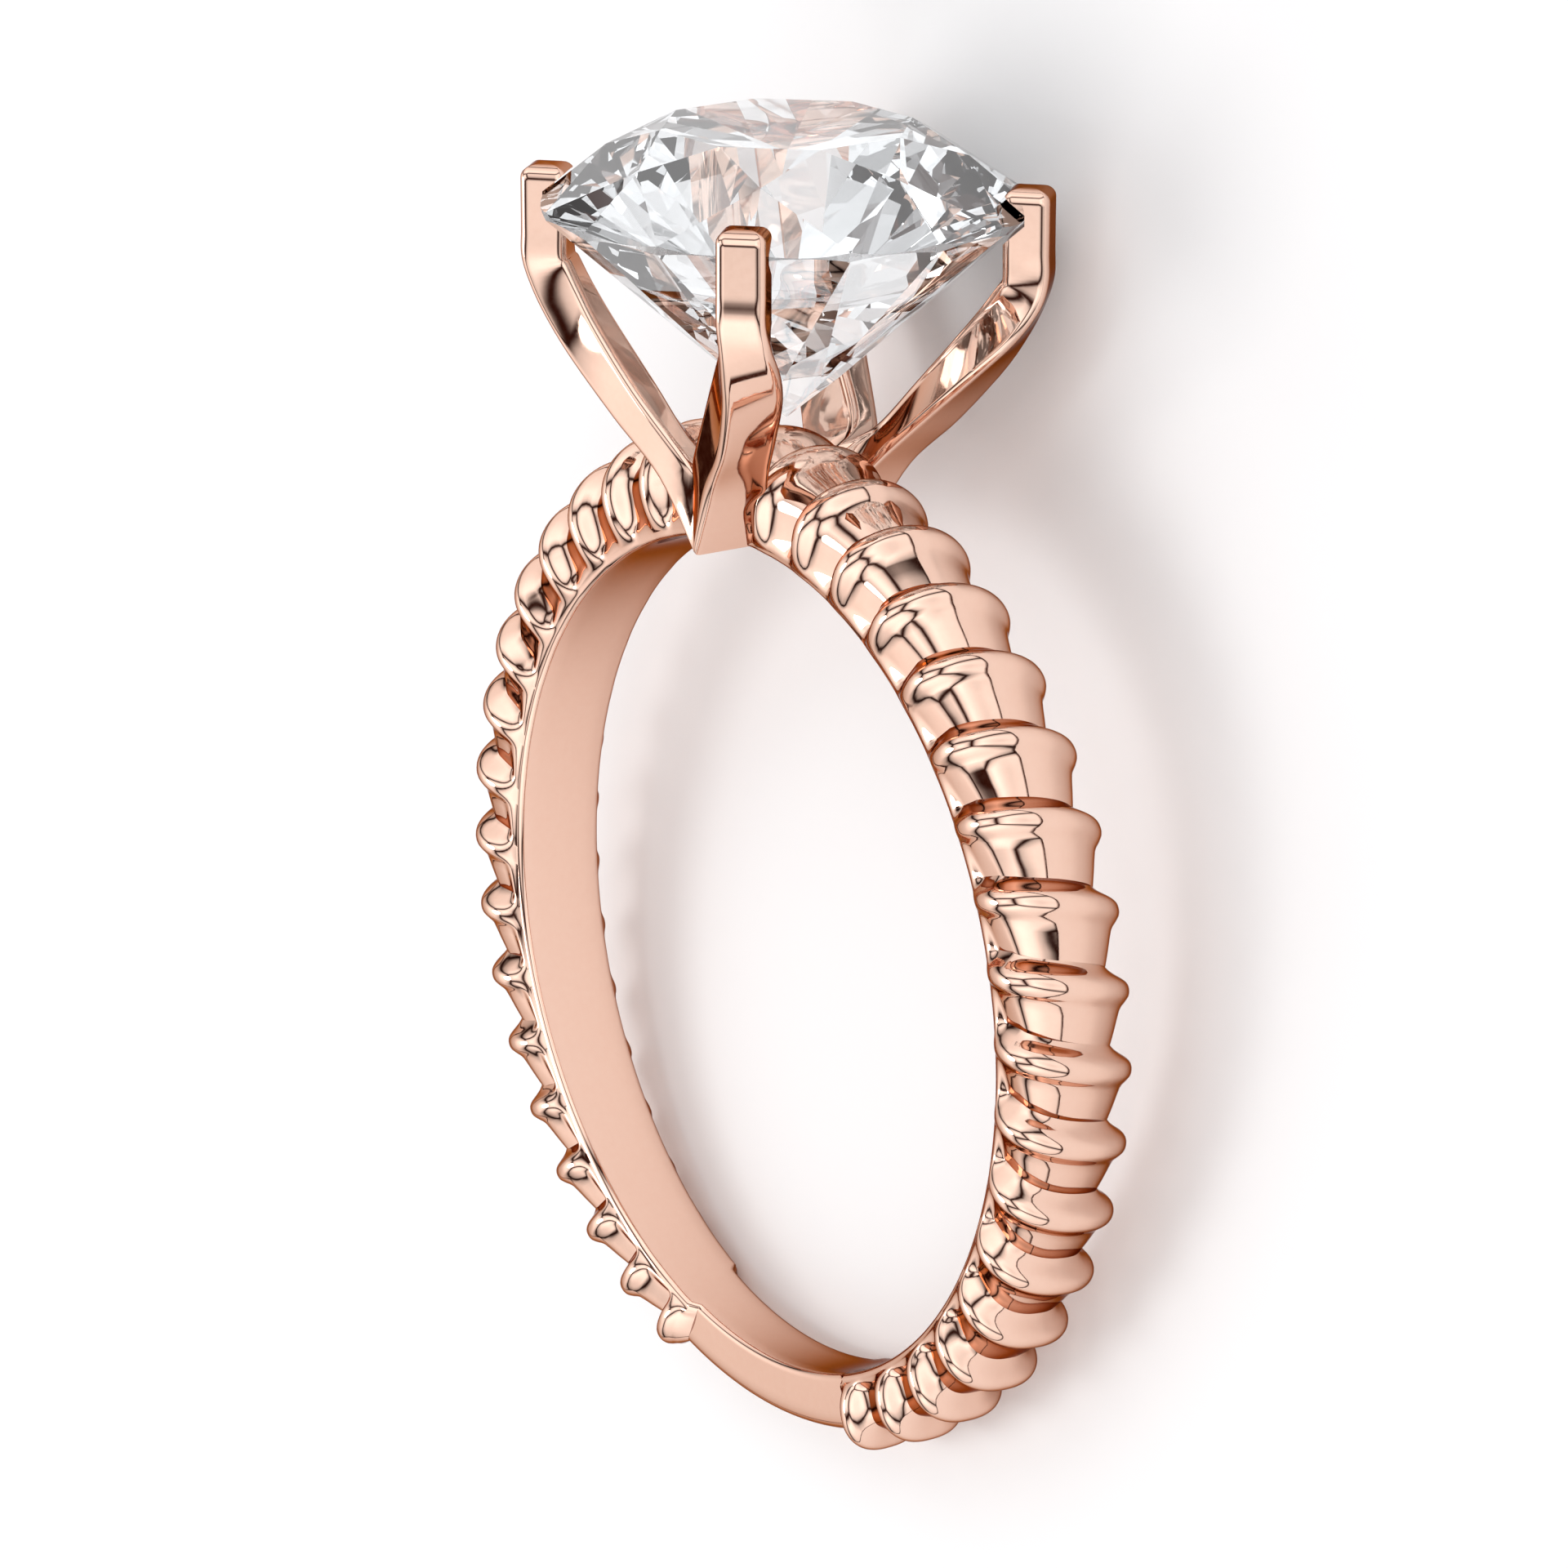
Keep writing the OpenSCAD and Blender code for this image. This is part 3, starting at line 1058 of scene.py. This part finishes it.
@dataclass(frozen=True)
class LightTent:
    """Box tent of glowing white panels, with soft dark seams between them.

    A mirror bright metal shows little but its surroundings: each turn of the coil draws the
    seams as thin dark lines that fade to brown, with pale panels between them.
    """

    turn: float = 23.0
    flatness: float = 0.42
    panel_colour: str = "#fcfcfd"
    seam_colour: str = "#3d1a0f"
    backdrop_colour: str = "#ffffff"
    seam: tuple[float, float] = (0.01, 0.14)
    horizon: tuple[float, float] = (0.0, 0.06)
    shade_reach: float = 0.4
    shade_light: tuple[float, float] = (0.46, 1.18)
    cloud_scale: float = 1.3
    cloud_detail: float = 0.0
    cloud_span: tuple[float, float] = (0.3, 0.7)
    cloud_light: tuple[float, float] = (0.86, 1.08)
    ceiling_span: tuple[float, float] = (0.3, 0.95)
    ceiling_light: float = 1.62

    def world(self) -> bpy.types.World:
        """Builds the tent as the scene's world.

        Returns:
            The world, which the camera itself sees as a plain white backdrop.
        """
        world = bpy.data.worlds.new("light_tent")
        world.use_nodes = True
        tree = world.node_tree
        tree.nodes.clear()
        towards = add_node(tree, "ShaderNodeTexCoord").outputs["Generated"]
        height = add_node(tree, "ShaderNodeSeparateXYZ", links={"Vector": towards}).outputs["Z"]
        inwards = self.distance_from_seams(tree, towards)
        clouds = add_node(
            tree,
            "ShaderNodeTexNoise",
            {"Scale": self.cloud_scale, "Detail": self.cloud_detail},
            {"Vector": towards},
        )
        panel, above, shade, cloud, ceiling = (
            add_node(
                tree,
                "ShaderNodeMapRange",
                {
                    "interpolation_type": "SMOOTHSTEP",
                    "From Min": start,
                    "From Max": stop,
                    "To Min": low,
                    "To Max": high,
                },
                {"Value": value},
            ).outputs["Result"]
            for value, (start, stop), (low, high) in (
                (inwards, self.seam, (0, 1)),
                (height, self.horizon, (0, 1)),
                (inwards, (0, self.shade_reach), self.shade_light),
                (clouds.outputs["Fac"], self.cloud_span, self.cloud_light),
                (height, self.ceiling_span, (1, self.ceiling_light)),
            )
        )
        times = {"operation": "MULTIPLY"}
        open_panel = add_node(tree, "ShaderNodeMath", times, {0: panel, 1: above})
        dappled = add_node(tree, "ShaderNodeMath", times, {0: shade, 1: cloud})
        strength = add_node(tree, "ShaderNodeMath", times, {0: dappled.outputs["Value"], 1: ceiling})
        colour = add_node(
            tree,
            "ShaderNodeMix",
            {"data_type": "RGBA", MIX_A: linear(self.seam_colour), MIX_B: linear(self.panel_colour)},
            {"Factor": open_panel.outputs["Value"]},
        )
        glow = add_node(
            tree,
            "ShaderNodeBackground",
            links={"Color": colour.outputs[MIX_RESULT], "Strength": strength.outputs["Value"]},
        )
        plain = add_node(tree, "ShaderNodeBackground", {"Color": linear(self.backdrop_colour)})
        path = add_node(tree, "ShaderNodeLightPath")
        seen = add_node(
            tree,
            "ShaderNodeMixShader",
            links={
                "Fac": path.outputs["Is Camera Ray"],
                1: glow.outputs["Background"],
                2: plain.outputs["Background"],
            },
        )
        add_node(tree, "ShaderNodeOutputWorld", links={"Surface": seen.outputs["Shader"]})
        return world

    def distance_from_seams(
        self, tree: bpy.types.NodeTree, towards: bpy.types.NodeSocket
    ) -> bpy.types.NodeSocket:
        """Works out how far a direction lies from the seams of the turned box.

        Args:
            tree: The world's node tree.
            towards: Direction that light comes from.

        Returns:
            The largest of the direction's three shares less the second largest, 0 at a seam.
        """
        turned = add_node(
            tree,
            "ShaderNodeMapping",
            {"Rotation": (0, 0, math.radians(-self.turn)), "Scale": (1, 1, self.flatness)},
            {"Vector": towards},
        ).outputs["Vector"]
        sides = add_node(tree, "ShaderNodeVectorMath", {"operation": "ABSOLUTE"}, {"Vector": turned})
        axes = add_node(tree, "ShaderNodeSeparateXYZ", links={"Vector": sides.outputs["Vector"]})
        x, y, z = axes.outputs
        larger, smaller = {"operation": "MAXIMUM"}, {"operation": "MINIMUM"}
        wall = add_node(tree, "ShaderNodeMath", larger, {0: x, 1: y}).outputs["Value"]
        nearest = add_node(tree, "ShaderNodeMath", larger, {0: wall, 1: z}).outputs["Value"]
        corner = add_node(tree, "ShaderNodeMath", smaller, {0: x, 1: y}).outputs["Value"]
        rim = add_node(tree, "ShaderNodeMath", smaller, {0: wall, 1: z}).outputs["Value"]
        second = add_node(tree, "ShaderNodeMath", larger, {0: corner, 1: rim}).outputs["Value"]
        less = {"operation": "SUBTRACT"}
        return add_node(tree, "ShaderNodeMath", less, {0: nearest, 1: second}).outputs["Value"]


@dataclass(frozen=True)
class Viewpoint:
    """The camera, where the photograph was taken from, given in the ring's own axes."""

    azimuth: float = 56.0282
    elevation: float = 19.3337
    distance_mm: float = 120.825
    roll: float = 0.162
    aim: tuple[float, float] = (-0.0056, 1.5248)
    focal_share: float = 3.96929
    sensor_mm: float = 36.0
    clip_m: tuple[float, float] = (0.01, 10.0)

    def camera(self, pose: Matrix) -> bpy.types.Object:
        """Sets the scene's camera.

        Args:
            pose: Matrix from the ring's axes to the table.

        Returns:
            The camera object.
        """
        data = bpy.data.cameras.new("camera")
        data.sensor_width = self.sensor_mm
        data.lens = self.sensor_mm * self.focal_share
        data.clip_start, data.clip_end = self.clip_m
        back = direction(self.azimuth, self.elevation)
        right = Vector((math.cos(math.radians(self.azimuth)), math.sin(math.radians(self.azimuth)), 0))
        facing = Matrix((right, back.cross(right), back)).transposed().to_4x4()
        roll = Matrix.Rotation(math.radians(self.roll), 4, "Z")
        aim_x, aim_y = (math.radians(angle) for angle in self.aim)
        aim = Matrix.Rotation(-aim_x, 4, "Y") @ Matrix.Rotation(aim_y, 4, "X")
        spot = pose @ (Matrix.Translation(back * self.distance_mm) @ facing @ roll @ aim)
        made = bpy.data.objects.new("camera", data)
        made.location = spot.to_translation()
        made.rotation_euler = spot.to_quaternion().to_euler()
        bpy.context.scene.collection.objects.link(made)
        bpy.context.scene.camera = made
        return made


@dataclass(frozen=True)
class Studio:
    """Plain pale table under a light tent and a soft lamp."""

    tent: LightTent = LightTent()
    lamp: SoftLamp = SoftLamp()
    viewpoint: Viewpoint = Viewpoint()
    table_colour: str = "#f8f7f7"
    table_roughness: float = 0.9
    table_mm: float = 320.0
    view_transform: str = "Standard"
    bounces: int = 9

    def table(self) -> bpy.types.Object:
        """Lays the table.

        Returns:
            The table's top.
        """
        mesh = bmesh.new()
        bmesh.ops.create_grid(mesh, x_segments=1, y_segments=1, size=self.table_mm / 2)
        made = as_object(mesh, "table_top", Matrix.Scale(MM, 4))
        material = empty_material("matt_white_card")
        tree = material.node_tree
        card = {"Base Color": linear(self.table_colour), "Roughness": self.table_roughness}
        shader = add_node(tree, "ShaderNodeBsdfPrincipled", card)
        add_node(tree, "ShaderNodeOutputMaterial", links={"Surface": shader.outputs["BSDF"]})
        made.data.materials.append(material)
        return made

    def build(self, pose: Matrix) -> None:
        """Sets up the table, the light and the camera.

        Args:
            pose: Matrix from the ring's axes to the table.
        """
        scene = bpy.context.scene
        scene.view_settings.view_transform = self.view_transform
        scene.cycles.max_bounces = self.bounces
        scene.cycles.glossy_bounces = self.bounces
        scene.cycles.transmission_bounces = self.bounces
        self.table()
        scene.world = self.tent.world()
        self.lamp.hang()
        self.viewpoint.camera(pose)


def main() -> None:
    """Loads the frame, dresses the ring and sets up the studio."""
    logging.basicConfig(level=logging.INFO, format="%(name)s: %(message)s")
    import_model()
    ring = Ring()
    ring.metal()
    ring.jewel()
    Studio().build(ring.pose)


if __name__ == "__main__":
    main()
